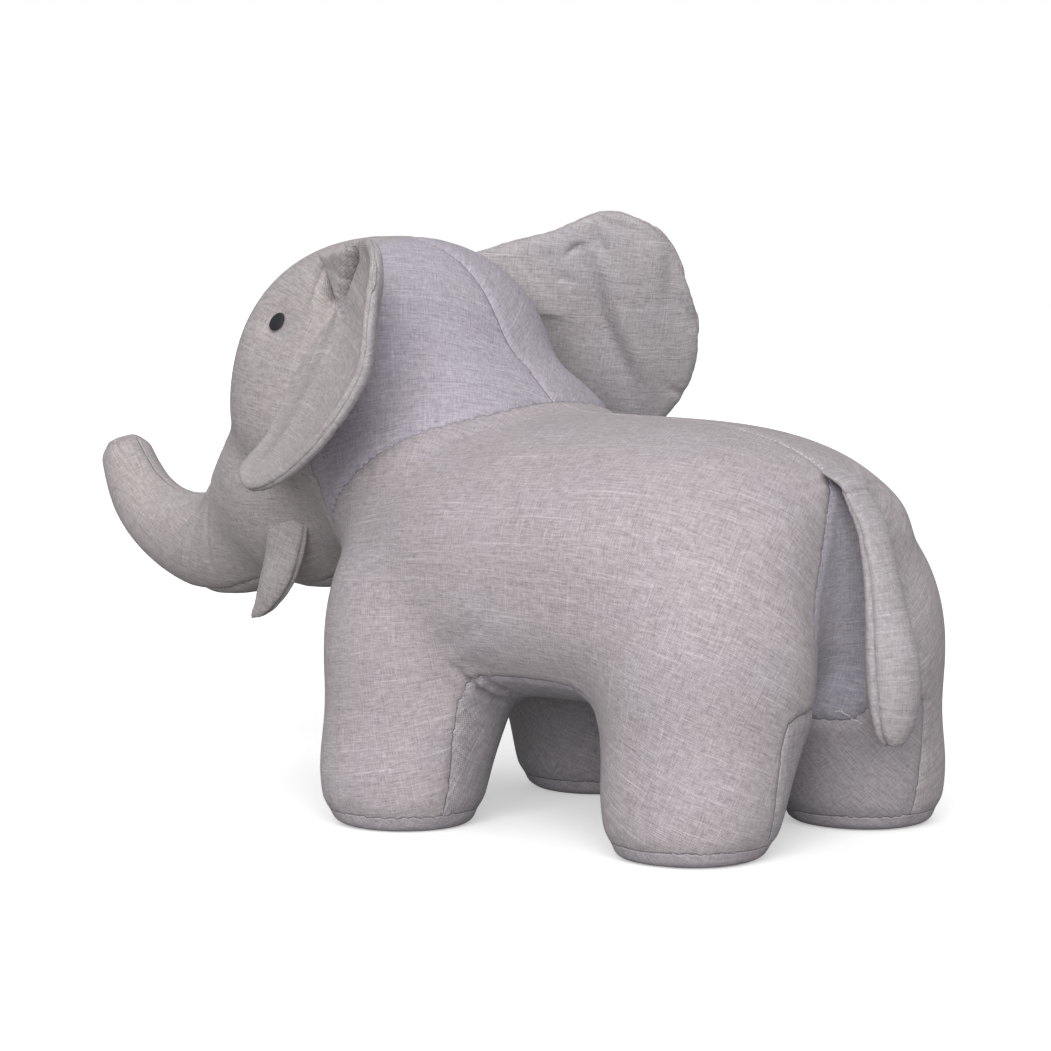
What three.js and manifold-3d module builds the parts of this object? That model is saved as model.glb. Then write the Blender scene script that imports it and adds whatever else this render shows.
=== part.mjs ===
// A large stuffed elephant in woven linen: sewn cover panels over polyester stuffing,
// with hinged ears, tusks and tail. Millimetres, +Z up, the elephant looks along -Y.
import * as THREE from "three";
import { mergeVertices } from "three/addons/utils/BufferGeometryUtils.js";
import Module from "manifold-3d";

const wasm = await Module();
wasm.setup();

// ---- driving dimensions ----
const legSpacingX = 130; // middle of the body to the middle of a front foot
const legSpacingY = 147; // middle of the body to the middle of a foot
const footRadius = 62;
const bellyHeight = 108;
const backHeight = 347;
const bodyHalfWidth = 188;
const headHeight = 497;
const headCentreY = -273;
const headHalfWidth = 142;
const trunkTipRadius = 22;
const bodyToFrameY = 179.2; // shift that puts the origin under the middle of the overall box
const fabric = 2; // cloth with its lining
const gap = 0.3; // kept between touching pieces
const stuffingInset = 2.6; // how far the stuffing lies inside the outer surface
const soleHeight = 13; // the sole piece turns up this far round each foot
const seamHalfGap = 0.15;
const eyeRadius = 8.7;
const eyeSegments = 32;
const earThickness = 7;
const earClearance = 6;
const far = 900; // larger than the object, for cutting blocks

const fabricGrey = 0xa9a2a4;
const stuffingWhite = 0xe9e6df;
const eyeBlack = 0x0c0c0d;

const v3 = (x, y, z) => new THREE.Vector3(x, y, z);

// ---- solids and meshes ----

// A closed geometry as a manifold-3d solid.
function solidOf(geometry) {
  const g = geometry.clone();
  g.deleteAttribute("normal");
  g.deleteAttribute("uv");
  const merged = mergeVertices(g, 1e-4);
  return new wasm.Manifold(
    new wasm.Mesh({
      numProp: 3,
      vertProperties: new Float32Array(merged.attributes.position.array),
      triVerts: new Uint32Array(merged.index.array),
    }),
  );
}

// The largest single body of a solid, without the slivers that a cut leaves.
function mainBody(solid) {
  return solid.decompose().sort((a, b) => b.volume() - a.volume())[0];
}

function geometryOf(solid) {
  const mesh = solid.getMesh();
  const g = new THREE.BufferGeometry();
  g.setAttribute("position", new THREE.BufferAttribute(mesh.vertProperties, 3));
  g.setIndex(new THREE.BufferAttribute(mesh.triVerts, 1));
  g.computeVertexNormals();
  return g;
}

const elephant = new THREE.Group();
elephant.name = "stuffed_elephant";
elephant.position.y = bodyToFrameY;

function addPiece(name, solid, colour, roughness = 0.95) {
  const material = new THREE.MeshStandardMaterial({ color: colour, roughness, metalness: 0 });
  const mesh = new THREE.Mesh(geometryOf(mainBody(solid)), material);
  mesh.name = name;
  elephant.add(mesh);
}

// ---- stuffed forms ----

// A number that changes smoothly along a form, from evenly spaced values.
function profile(values) {
  const last = values.length - 1;
  return new THREE.SplineCurve(values.map((value, i) => new THREE.Vector2(i / last, value)));
}

// A closed rounded form: sections of the given half-widths strung on a spine, and
// drawn in at both ends; blunt ends are flatter, and square gives how boxy the two
// halves of a section are, the under half first on a form that runs from front to back.
function stuffedForm(form, inset = 0) {
  const { spine, width, depth, blunt, square, around, along } = form;
  const path = new THREE.CatmullRomCurve3(spine, false, "centripetal");
  const endInset = Math.max(0, inset) / path.getLength();
  const widthAt = profile(width);
  const depthAt = profile(depth);
  const geometry = new THREE.SphereGeometry(1, around, along);
  const position = geometry.attributes.position;
  const side = v3(1, 0, 0);
  for (let i = 0; i < position.count; i++) {
    const x = position.getX(i);
    const y = THREE.MathUtils.clamp(position.getY(i), -1, 1);
    const z = position.getZ(i);
    const end = y > 0 ? blunt[0] : blunt[1];
    const ring = Math.max(0, 1 - Math.abs(y) ** end) ** (1 / end);
    const t = endInset + ((1 - y) / 2) * (1 - 2 * endInset);
    const centre = path.getPointAt(t);
    const up = new THREE.Vector3().crossVectors(path.getTangentAt(t), side).normalize();
    const radius = Math.hypot(x, z) || 1;
    const power = 2 / (z > 0 ? square[0] : square[1]);
    const soft = (value) => Math.sign(value) * Math.abs(value) ** power;
    const halfWidth = (widthAt.getPoint(t).y - inset) * ring * soft(x / radius);
    const halfDepth = (depthAt.getPoint(t).y - inset) * ring * soft(z / radius);
    centre.addScaledVector(side, halfWidth).addScaledVector(up, halfDepth);
    position.setXYZ(i, centre.x, centre.y, centre.z);
  }
  return solidOf(geometry);
}

const mirrored = (form) => ({ ...form, spine: form.spine.map((p) => v3(-p.x, p.y, p.z)) });

const torsoMiddle = (backHeight + bellyHeight) / 2;
const torsoHalf = (backHeight - bellyHeight) / 2;
const torso = {
  spine: [
    v3(0, -240, torsoMiddle - 4),
    v3(0, -120, torsoMiddle),
    v3(0, 0, torsoMiddle - 1),
    v3(0, 130, torsoMiddle - 8),
    v3(0, 233, torsoMiddle - 22),
  ],
  width: [184, bodyHalfWidth, 187, 186, 176],
  depth: [torsoHalf - 6, torsoHalf, torsoHalf, torsoHalf - 1, torsoHalf - 10],
  blunt: [2.8, 2.8],
  square: [2.8, 2.15],
  around: 24,
  along: 12,
};
const frontLeg = {
  spine: [
    v3(legSpacingX + 3, -legSpacingY, -2),
    v3(legSpacingX + 2, -144, 50),
    v3(legSpacingX - 2, -139, 110),
    v3(118, -139, 200),
    v3(104, -132, 305),
  ],
  width: [footRadius, 64, 65, 68, 66],
  depth: [footRadius - 2, 66, 77, 77, 70],
  blunt: [7, 2.4],
  square: [2.1, 2.1],
  around: 14,
  along: 8,
};
const hindLeg = {
  spine: [
    v3(legSpacingX - 6, legSpacingY + 6, -2),
    v3(118, 154, 50),
    v3(99, 152, 110),
    v3(97, 150, 190),
    v3(93, 142, 284),
  ],
  width: [footRadius, 74, 93, 90, 74],
  depth: [footRadius, 69, 78, 84, 76],
  blunt: [7, 2.4],
  square: [2.2, 2.2],
  around: 14,
  along: 8,
};
const cranium = {
  spine: [
    v3(0, headCentreY, headHeight),
    v3(0, headCentreY - 1, 400),
    v3(0, headCentreY - 1, 320),
    v3(0, headCentreY, 222),
  ],
  width: [138, headHalfWidth, 145, 126],
  depth: [130, 137, 140, 124],
  blunt: [2, 2.4],
  square: [2.3, 2.2],
  around: 20,
  along: 10,
};
const trunk = {
  spine: [
    v3(0, -205, 300),
    v3(0, -305, 292),
    v3(0, -400, 276),
    v3(0, -472, 228),
    v3(0, -535, 207),
    v3(0, -592, 238),
    v3(0, -625, 316),
  ],
  width: [118, 132, 118, 68, 40, 30, trunkTipRadius],
  depth: [105, 102, 96, 61, 39, 30, trunkTipRadius],
  blunt: [2.4, 8],
  square: [2, 2],
  around: 12,
  along: 14,
};
const neck = {
  spine: [v3(0, -300, 330), v3(0, -210, 302), v3(0, -130, 262), v3(0, -60, 240)],
  width: [125, 142, 156, 150],
  depth: [120, 118, 110, 90],
  blunt: [2.4, 2.2],
  square: [2.1, 2.1],
  around: 18,
  along: 6,
};

const legs = {
  front_left: frontLeg,
  front_right: mirrored(frontLeg),
  hind_left: hindLeg,
  hind_right: mirrored(hindLeg),
};
const headForms = [cranium, trunk, neck];
const bodyForms = [torso, ...Object.values(legs)];

// ---- cutting blocks ----

function block(low, high) {
  const size = high.map((value, i) => value - low[i]);
  const box = new THREE.BoxGeometry(...size);
  box.translate(...low.map((value, i) => value + size[i] / 2));
  return solidOf(box);
}

// A prism: an outline of [across, up] points pushed along one axis from start to end.
function prism(outline, axis, start, end) {
  const shape = new THREE.Shape(outline.map(([a, b]) => new THREE.Vector2(a, b)));
  const g = new THREE.ExtrudeGeometry(shape, { depth: end - start, bevelEnabled: false });
  g.translate(0, 0, start);
  const turned = new THREE.Matrix4();
  if (axis === "x") turned.makeBasis(v3(0, 1, 0), v3(0, 0, 1), v3(1, 0, 0));
  if (axis === "y") turned.makeBasis(v3(1, 0, 0), v3(0, 0, 1), v3(0, -1, 0));
  g.applyMatrix4(turned);
  return solidOf(g);
}

const floorBlock = block([-far, -far, -far], [far, far, 0]);
const union = (solids) => solids.reduce((a, b) => a.add(b));

// The flat cut end of the trunk: everything past a plane across its tip.
const tipPoint = v3(0, -621, 303);
const tipAxis = v3(0, -0.36, 0.933).normalize();
function beyondTip(offset) {
  const g = new THREE.BoxGeometry(120, 120, 120);
  g.translate(0, 0, 60 + offset);
  g.applyQuaternion(new THREE.Quaternion().setFromUnitVectors(v3(0, 0, 1), tipAxis));
  g.translate(tipPoint.x, tipPoint.y, tipPoint.z);
  return solidOf(g);
}

// ---- the cover, cut into its sewn panels ----

const outer = union([...bodyForms, ...headForms].map((form) => stuffedForm(form)))
  .subtract(floorBlock)
  .subtract(beyondTip(0));
const inner = union([...bodyForms, ...headForms].map((form) => stuffedForm(form, fabric)))
  .subtract(block([-far, -far, -far], [far, far, fabric]))
  .subtract(beyondTip(-fabric));
const cover = outer.subtract(inner);

// Seam lines seen from the side, as [Y, Z]: the neck seam runs from the top of the back
// down and forward to the chest, and the face seam runs over the head through the ears.
const neckSeam = [
  [-76, 700], [-76, 372], [-92, 350], [-137, 332], [-190, 298], [-234, 262], [-246, 222], [-248, 0],
];
const headSide = [...neckSeam, [-far, 0], [-far, 700]];
const faceSeam = [[-258, 700], [-258, 300], [-240, 240], [-248, 0]];
const faceSide = [...faceSeam, [-far, 0], [-far, 700]];
const shifted = (outline, dy) => outline.map(([y, z]) => [y + dy, z]);

const inHead = prism(headSide, "x", -far, far);
const inHeadWide = prism(shifted(headSide, gap), "x", -far, far);
const inFace = prism(faceSide, "x", -far, far);
const inFaceWide = prism(shifted(faceSide, gap), "x", -far, far);
const leftHalf = block([seamHalfGap, -far, -far], [far, far, far]);
const rightHalf = block([-far, -far, -far], [-seamHalfGap, far, far]);

const bodyCover = cover.subtract(inHeadWide);
const headCover = cover.intersect(inHead);

const soleBlock = block([-far, -far, -1], [far, far, soleHeight]);
const aboveSoles = block([-far, -far, soleHeight + gap], [far, far, far]);

// The under-body piece: the belly and the inner faces of all four legs.
const innerLegs = [
  [-150, -330], [150, -330], [150, -20], [102, 60], [102, 300], [-102, 300], [-102, 60], [-150, -20],
];
const innerLegTop = 118;
const bellyPanel = [150, 116, 166]; // half-width, half-length and height of its edge
const grown = (outline, d) => outline.map(([x, y]) => [x + Math.sign(x) * d, y + Math.sign(y) * d]);
function underBody(d) {
  const [x, y, z] = bellyPanel.map((value) => value + d);
  return prism(grown(innerLegs, d), "z", -1, innerLegTop + d).add(block([-x, -y, -1], [x, y, z]));
}

// The leaf-shaped piece behind the tail, as [X, Z].
const leafHalf = [[22, 262], [47, 212], [64, 172], [60, 142], [40, 100]];
function rumpLeaf(d) {
  const right = leafHalf.map(([x, z]) => [x + d, z]);
  const left = [...leafHalf].reverse().map(([x, z]) => [-x - d, z]);
  return prism([[0, 306 + 2 * d], ...right, ...left], "y", -330, -150);
}

const bodyUpper = bodyCover.intersect(aboveSoles);
const rumpPiece = bodyUpper.intersect(rumpLeaf(0));
const bodyWithoutRump = bodyUpper.subtract(rumpLeaf(gap));
const sidePanels = bodyWithoutRump.subtract(underBody(gap));

addPiece("belly_panel", bodyWithoutRump.intersect(underBody(0)), fabricGrey);
addPiece("rump_gusset", rumpPiece, fabricGrey);
for (const [side, half, sign] of [["left", leftHalf, 1], ["right", rightHalf, -1]]) {
  addPiece("side_panel_" + side, sidePanels.intersect(half), fabricGrey);
  for (const [end, low, high] of [["front", -far, 0], ["hind", 0, far]]) {
    const quarter = block([Math.min(0, sign * far), low, -1], [Math.max(0, sign * far), high, far]);
    addPiece("sole_" + end + "_" + side, bodyCover.intersect(soleBlock).intersect(quarter), fabricGrey);
  }
}

// The chin piece: a strip under the jaw that narrows to a point under the trunk.
const chinOutline = [[34, -200], [34, -400], [14, -505], [-14, -505], [-34, -400], [-34, -200]];
const chin = (d) => prism(grown(chinOutline, d), "z", 100, 222);
const tipCap = beyondTip(-fabric - 0.5);
const face = headCover.intersect(inFace);
const nape = headCover.subtract(inFaceWide);
addPiece("chin_panel", face.intersect(chin(0)), fabricGrey);
addPiece("trunk_tip", face.intersect(beyondTip(-fabric)), fabricGrey);
const facePanels = face.subtract(chin(gap)).subtract(tipCap);

// ---- stuffing ----

const torsoStuffing = stuffedForm(torso, stuffingInset);
addPiece("torso_stuffing", torsoStuffing, stuffingWhite);
const torsoClear = stuffedForm(torso, stuffingInset - gap);
const aboveSoleCloth = block([-far, -far, -far], [far, far, fabric + gap]);
for (const [name, form] of Object.entries(legs)) {
  const leg = stuffedForm(form, stuffingInset).subtract(torsoClear).subtract(aboveSoleCloth);
  addPiece("leg_stuffing_" + name, leg, stuffingWhite);
}
const headStuffingForm = (inset) => stuffedForm(cranium, inset).add(stuffedForm(neck, inset));
const headRoom = union(bodyForms.map((form) => stuffedForm(form, stuffingInset - gap)));
const trunkStuffing = stuffedForm(trunk, stuffingInset)
  .subtract(headStuffingForm(stuffingInset - gap))
  .subtract(headRoom)
  .subtract(beyondTip(-fabric - gap));
addPiece("trunk_stuffing", trunkStuffing, stuffingWhite);
let headStuffing = headStuffingForm(stuffingInset).subtract(headRoom);

// ---- places on the cover ----

const bothSides = new THREE.MeshBasicMaterial({ side: THREE.DoubleSide });
const outerMesh = new THREE.Mesh(geometryOf(outer), bothSides);

// The point and the outward normal where a line towards the cover first meets it.
function surfaceAt(from, direction) {
  const hit = new THREE.Raycaster(from, direction.clone().normalize()).intersectObject(outerMesh)[0];
  return { point: hit.point, normal: hit.face.normal.clone() };
}

// ---- ears: two linen panels over a wadding, hinged where they are sewn into the face seam ----

// The ear lies in a plane of its own: back runs from the seam to the far rim, rise runs up
// the ear and front points out of its front face.
const earRoot = v3(114, -244, 432);
const earBack = v3(0.67, 0.73, -0.13).normalize();
const earFront = v3(0.7, -0.56, 0.44).projectOnPlane(earBack).normalize();
const earRise = new THREE.Vector3().crossVectors(earFront, earBack);
const earOffset = v3(1, 0.3, 0.8).normalize().multiplyScalar(earClearance + 3);
const earCup = 20; // how far the rim curls forward of the middle
const earOutline = [
  [-56, 48], [-16, 68], [28, 84], [78, 93], [124, 78], [160, 36], [180, -18], [180, -62],
  [162, -106], [124, -146], [78, -162], [44, -146], [26, -106], [18, -58], [-2, 0],
];
const earMiddle = new THREE.Vector2(84, -14);

// One layer of the ear, from the low to the high depth off its middle surface, for the
// left (sign 1) or the right (sign -1) ear.
function earLayer(low, high, shrink, sign) {
  const rim = new THREE.CatmullRomCurve3(earOutline.map(([a, b]) => v3(a, b, 0)), true, "centripetal");
  const g = new THREE.SphereGeometry(1, 24, 6);
  const position = g.attributes.position;
  for (let i = 0; i < position.count; i++) {
    const y = THREE.MathUtils.clamp(position.getY(i), -1, 1);
    const reach = Math.min(1, Math.hypot(position.getX(i), position.getZ(i)));
    const turn = Math.atan2(sign * position.getZ(i), position.getX(i)) / (2 * Math.PI);
    const edge = rim.getPoint((turn + 1) % 1);
    const toEdge = new THREE.Vector2(edge.x, edge.y).sub(earMiddle);
    const share = Math.min(reach ** 0.6, 1 - shrink / toEdge.length());
    toEdge.multiplyScalar(share);
    const thin = Math.sqrt(1 - reach ** 6);
    const layer = (low + high) / 2 + Math.sign(y) * thin * ((high - low) / 2);
    const p = earRoot.clone().add(earOffset);
    p.addScaledVector(earBack, earMiddle.x + toEdge.x).addScaledVector(earRise, earMiddle.y + toEdge.y);
    p.addScaledVector(earFront, layer + earCup * (share ** 2.6 - 0.4));
    position.setXYZ(i, sign * p.x, p.y, p.z);
  }
  return solidOf(g);
}

// ---- tail and tusks ----

const tail = {
  spine: [
    v3(0, 222, 296),
    v3(0, 239, 266),
    v3(0, 248, 233),
    v3(0, 254, 200),
    v3(0, 260, 160),
    v3(0, 263, 122),
    v3(0, 262, 88),
  ],
  width: [18, 17, 17, 20, 26, 27, 22],
  depth: [4, 8, 11, 15, 20, 21, 17],
  blunt: [8, 2.2],
  square: [2, 2],
  around: 12,
  along: 10,
};
const tailTab = {
  spine: [v3(0, 208, 306), v3(0, 214, 302), v3(0, 221, 298)],
  width: [17, 17, 17],
  depth: [2, 2, 2],
  blunt: [8, 8],
  square: [3, 3],
  around: 8,
  along: 4,
};
const tusk = {
  spine: [v3(94, -314, 242), v3(96, -318, 216), v3(98, -327, 192), v3(98, -342, 170), v3(97, -357, 158)],
  width: [9, 11, 11, 9, 6],
  depth: [21, 19, 16, 12, 8],
  blunt: [6, 2],
  square: [2, 2],
  around: 10,
  along: 7,
};

// A stuffed pocket that is open where it is sewn on: its cover, then its stuffing.
function stuffedPocket(name, form, room, mouth) {
  const whole = stuffedForm(form).subtract(room);
  const open = stuffedForm(form, fabric).add(mouth);
  const stuffing = stuffedForm(form, stuffingInset).subtract(room).subtract(mouth);
  addPiece(name + "_cover", whole.subtract(open), fabricGrey);
  addPiece(name + "_stuffing", stuffing, stuffingWhite);
}

// ---- eyes: an oval button outside, its stem and a washer behind the cloth ----

const eyeAim = v3(121, -302, 423);
const eyeSeat = surfaceAt(eyeAim.clone().add(v3(160, -40, 100)), v3(-160, 40, -100));

// Turned round an axis, then set on the face with that axis along its normal.
function onFace(points, sign) {
  const g = new THREE.LatheGeometry(points.map(([r, h]) => new THREE.Vector2(r, h)), eyeSegments);
  const n = v3(sign * eyeSeat.normal.x, eyeSeat.normal.y, eyeSeat.normal.z);
  const across = new THREE.Vector3().crossVectors(v3(0, 0, 1), n).normalize();
  const up = new THREE.Vector3().crossVectors(n, across);
  g.applyMatrix4(new THREE.Matrix4().makeBasis(across, n, up.negate()));
  g.translate(sign * eyeSeat.point.x, eyeSeat.point.y, eyeSeat.point.z);
  return solidOf(g);
}

const eyeProfile = [
  [0, -9], [2, -9], [2, 0.7], [eyeRadius - 0.3, 0.7], [eyeRadius, 1.1], [eyeRadius - 0.3, 1.7],
  [eyeRadius - 1.2, 2.1], [5.4, 2.6], [2.8, 2.95], [0, 3.1],
];
const washerProfile = [[2.3, -7], [9, -7], [9, -4.6], [2.3, -4.6], [2.3, -7]];
const stemHole = [[0, -20], [2.2, -20], [2.2, 20], [0, 20]];
const washerRoom = [[0, -12], [9.5, -12], [9.5, 8], [0, 8]];

for (const [side, half, sign] of [["left", leftHalf, 1], ["right", rightHalf, -1]]) {
  const eye = onFace(eyeProfile, sign);
  addPiece("eye_" + side, eye, eyeBlack, 0.6);
  addPiece("eye_washer_" + side, onFace(washerProfile, sign), 0x303030, 0.6);
  headStuffing = headStuffing.subtract(onFace(washerRoom, sign));
  addPiece("face_panel_" + side, facePanels.intersect(half).subtract(onFace(stemHole, sign)), fabricGrey);
  addPiece("nape_panel_" + side, nape.intersect(half), fabricGrey);
}
addPiece("head_stuffing", headStuffing, stuffingWhite);

const headRoomOutside = union(headForms.map((form) => stuffedForm(form, -1.5)));
const tuskMouth = union(headForms.map((form) => stuffedForm(form, -4)));
for (const [side, sign] of [["left", 1], ["right", -1]]) {
  addPiece("ear_front_" + side, earLayer(2, earThickness / 2, 0, sign), fabricGrey);
  addPiece("ear_wadding_" + side, earLayer(-1.4, 1.4, 5, sign), stuffingWhite);
  addPiece("ear_back_" + side, earLayer(-earThickness / 2, -2, 0, sign), fabricGrey);
  stuffedPocket("tusk_" + side, sign > 0 ? tusk : mirrored(tusk), headRoomOutside, tuskMouth);
}

addPiece("tail_tab", stuffedForm(tailTab), fabricGrey);
const aboveTail = block([-40, 150, 293], [40, 260, 340]);
stuffedPocket("tail", tail, block([-40, 150, 296], [40, 260, 340]), aboveTail);

export default elephant;
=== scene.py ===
"""A large stuffed elephant sewn from grey linen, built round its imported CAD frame.

Metres, +Z up; the elephant looks along -Y and its left side is +X.
"""
import math

import bmesh
import bpy
import numpy as np
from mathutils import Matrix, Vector, kdtree


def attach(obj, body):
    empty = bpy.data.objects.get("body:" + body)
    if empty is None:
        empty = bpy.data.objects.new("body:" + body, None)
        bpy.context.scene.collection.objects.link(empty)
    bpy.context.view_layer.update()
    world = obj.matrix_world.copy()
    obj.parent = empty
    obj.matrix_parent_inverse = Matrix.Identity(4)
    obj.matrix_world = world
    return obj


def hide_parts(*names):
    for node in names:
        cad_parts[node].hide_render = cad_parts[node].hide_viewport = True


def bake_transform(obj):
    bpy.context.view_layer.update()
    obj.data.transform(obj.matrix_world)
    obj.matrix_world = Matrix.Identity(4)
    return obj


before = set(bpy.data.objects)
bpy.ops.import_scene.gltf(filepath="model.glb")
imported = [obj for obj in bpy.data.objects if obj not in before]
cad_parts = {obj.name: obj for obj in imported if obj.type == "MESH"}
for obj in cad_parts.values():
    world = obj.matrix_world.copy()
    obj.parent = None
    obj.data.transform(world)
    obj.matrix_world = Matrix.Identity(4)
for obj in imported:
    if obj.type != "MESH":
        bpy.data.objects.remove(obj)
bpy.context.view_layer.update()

# ---- The stuffing ----
# Loose polyester fibre, packed firmly until the cover is round and smooth. Tapered shapes
# stand for how it fills the elephant: torso, neck, skull, trunk and two pairs of legs.

# The seam drawings are measured from the middle of the four feet; the frame's origin is
# under the middle of the whole object, trunk and tail included.
FEET_MIDDLE = np.array([0.0, 0.1792, 0.0])
MM = 0.001


def place(points):
    """Points in millimetres from the middle of the feet, as metres in the frame."""
    return np.asarray(points, float) * MM + FEET_MIDDLE


def curve_through(points, count=400, closed=False):
    """Even steps along one smooth curve through the points."""
    knots = np.asarray(points, float)
    if closed:
        knots = np.vstack([knots[-1], knots, knots[:2]])
    else:
        knots = np.vstack([2 * knots[0] - knots[1], knots, 2 * knots[-1] - knots[-2]])
    s = np.linspace(0, 1, 60, endpoint=False)[:, None]
    dense = []
    for a, b, c, d in zip(knots, knots[1:], knots[2:], knots[3:]):
        ab, bc, cd = (max(np.linalg.norm(q - p), 1e-9) ** 0.5 for p, q in ((a, b), (b, c), (c, d)))
        leave = ((b - a) / ab - (c - a) / (ab + bc) + (c - b) / bc) * bc
        reach = ((c - b) / bc - (d - b) / (bc + cd) + (d - c) / cd) * bc
        square, cube = 3 * c - 3 * b - 2 * leave - reach, 2 * b - 2 * c + leave + reach
        dense.append(b + leave * s + square * s**2 + cube * s**3)
    dense = np.vstack([*dense, knots[-2:-1]])
    gone = np.concatenate([[0], np.cumsum(np.linalg.norm(np.diff(dense, axis=0), axis=1))])
    even = np.linspace(0, gone[-1], count)
    return np.stack([np.interp(even, gone, dense[:, k]) for k in range(3)], axis=1)


def value_along(values, t):
    """A size that changes smoothly through evenly spaced values, at shares t of the way."""
    padded = np.array([values[0], *values, values[-1]], float)
    at = np.clip(t, 0, 1) * (len(values) - 1)
    i = np.minimum(at.astype(int), len(values) - 2)
    s = at - i
    a, b, c, d = (padded[i + k] for k in range(4))
    return b + 0.5 * s * (c - a + s * (2 * a - 5 * b + 4 * c - d + s * (3 * (b - c) + d - a)))


def only(*pieces):
    """Leaves just these pieces selected, the first one active."""
    bpy.ops.object.select_all(action="DESELECT")
    for piece in pieces:
        piece.select_set(True)
    bpy.context.view_layer.objects.active = pieces[0]


def points_of(piece):
    flat = np.empty(len(piece.data.vertices) * 3)
    piece.data.vertices.foreach_get("co", flat)
    return flat.reshape(-1, 3)


def set_points(piece, points):
    piece.data.vertices.foreach_set("co", np.asarray(points, float).ravel())
    piece.data.update()


def normals_of(piece):
    flat = np.empty(len(piece.data.vertices) * 3, np.float32)
    piece.data.vertex_normals.foreach_get("vector", flat)
    return flat.reshape(-1, 3).astype(float)


def in_edit(piece, work):
    """Runs edit-mode work on all of one piece."""
    only(piece)
    bpy.ops.object.mode_set(mode="EDIT")
    bpy.ops.mesh.select_all(action="SELECT")
    work()
    bpy.ops.object.mode_set(mode="OBJECT")


def finish_modifier(piece, kind, **settings):
    """Adds one modifier with its settings and applies it."""
    only(piece)
    modifier = piece.modifiers.new(kind.title(), kind)
    for name, value in settings.items():
        setattr(modifier, name, value)
    bpy.ops.object.modifier_apply(modifier=modifier.name)


def stuffed(name, spine, width, depth, blunt, square, segments=64, rings=48):
    """A closed rounded form strung on a spine: half-widths across X and half-depths at
    right angles, ends drawn in by blunt, and how boxy the under and upper halves are."""
    bpy.ops.mesh.primitive_uv_sphere_add(segments=segments, ring_count=rings, radius=1)
    piece = bpy.context.active_object
    piece.name = name
    ball = points_of(piece)
    pole = np.clip(ball[:, 2], -1, 1)
    end = np.where(pole > 0, blunt[0], blunt[1])
    ring = np.clip(1 - np.abs(pole) ** end, 0, 1) ** (1 / end)
    t = (1 - pole) / 2
    path = curve_through(spine)
    way = np.gradient(path, axis=0)
    way /= np.linalg.norm(way, axis=1)[:, None]
    shares = np.linspace(0, 1, len(path))
    centre, tangent = (np.stack([np.interp(t, shares, a[:, k]) for k in range(3)], axis=1) for a in (path, way))
    up = np.cross(tangent, [1.0, 0.0, 0.0])
    up /= np.linalg.norm(up, axis=1)[:, None]
    radius = np.maximum(np.hypot(ball[:, 0], ball[:, 1]), 1e-9)
    power = 2 / np.where(ball[:, 1] > 0, square[0], square[1])
    across, high = (np.sign(c) * np.abs(c) ** power for c in (ball[:, 0] / radius, ball[:, 1] / radius))
    moved = centre + up * (value_along(depth, t) * ring * high)[:, None]
    moved[:, 0] += value_along(width, t) * ring * across
    set_points(piece, place(moved))
    in_edit(piece, lambda: bpy.ops.mesh.normals_make_consistent(inside=False))
    return piece


def mirrored(piece, name):
    """A copy of a piece on the other side, with its own mesh and its faces outwards."""
    twin = piece.copy()
    twin.data = piece.data.copy()
    twin.name = name
    bpy.context.collection.objects.link(twin)
    set_points(twin, points_of(twin) * [-1, 1, 1])
    in_edit(twin, bpy.ops.mesh.flip_normals)
    return twin


torso = stuffed(
    "torso",
    spine=[(0, -246, 223.5), (0, -120, 227.5), (0, 0, 226.5), (0, 128, 221.5), (0, 219, 213)],
    width=(188, 189, 187, 184, 171),
    depth=(113.5, 119.5, 119.5, 119.5, 114),
    blunt=(2.8, 3.7),
    square=(2.8, 2.15),
)
front_leg = stuffed(
    "front_leg",
    spine=[(132, -150, -2), (128, -148, 50), (113, -145, 110), (106, -142, 200), (100, -134, 300)],
    width=(70, 75, 85, 83, 70),
    depth=(70, 75, 84, 81, 70),
    blunt=(7, 2.4),
    square=(2.1, 2.1),
)
hind_leg = stuffed(
    "hind_leg",
    spine=[(122, 148, -2), (114, 148, 50), (95, 145, 110), (93, 142, 190), (92, 134, 284)],
    width=(69, 77, 93, 89, 74),
    depth=(71, 77, 85, 85, 76),
    blunt=(7, 2.4),
    square=(2.2, 2.2),
)
skull = stuffed(
    "skull",
    spine=[(0, -269, 497), (0, -270, 400), (0, -271, 320), (0, -273, 227)],
    width=(138, 142, 145, 126),
    depth=(126, 133, 138, 124),
    blunt=(2.3, 2.4),
    square=(2.3, 2.2),
)
trunk = stuffed(
    "trunk",
    spine=[
        (0, -205, 300),
        (0, -305, 291),
        (0, -397, 253),
        (0, -468, 216),
        (0, -529, 217),
        (0, -584, 247),
        (0, -626, 323),
    ],
    width=(118, 130, 112, 65, 42, 31, 22.5),
    depth=(99, 97, 98, 60, 43, 31, 22.5),
    blunt=(2.4, 8),
    square=(2, 2),
    rings=96,
)
neck = stuffed(
    "neck",
    spine=[(0, -300, 330), (0, -210, 302), (0, -130, 262), (0, -60, 240)],
    width=(125, 142, 156, 150),
    depth=(120, 118, 110, 90),
    blunt=(2.4, 2.2),
    square=(2.1, 2.1),
)

# ---- The cover ----
# Fourteen linen panels, machine-sewn inside out, turned and stuffed through the back of
# the head, which is then closed by hand. The stuffing draws the seams in and rounds the rest.

TIP_POINT = place((0, -617, 303))
TIP_AXIS = np.array([0, -0.36, 0.933])
CLOTH_PITCH = 0.005


def cut_off(piece, point, normal):
    """Cuts away what lies beyond a plane and closes the cut."""
    work = lambda: bpy.ops.mesh.bisect(plane_co=point, plane_no=normal, use_fill=True, clear_outer=True)
    in_edit(piece, work)


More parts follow.
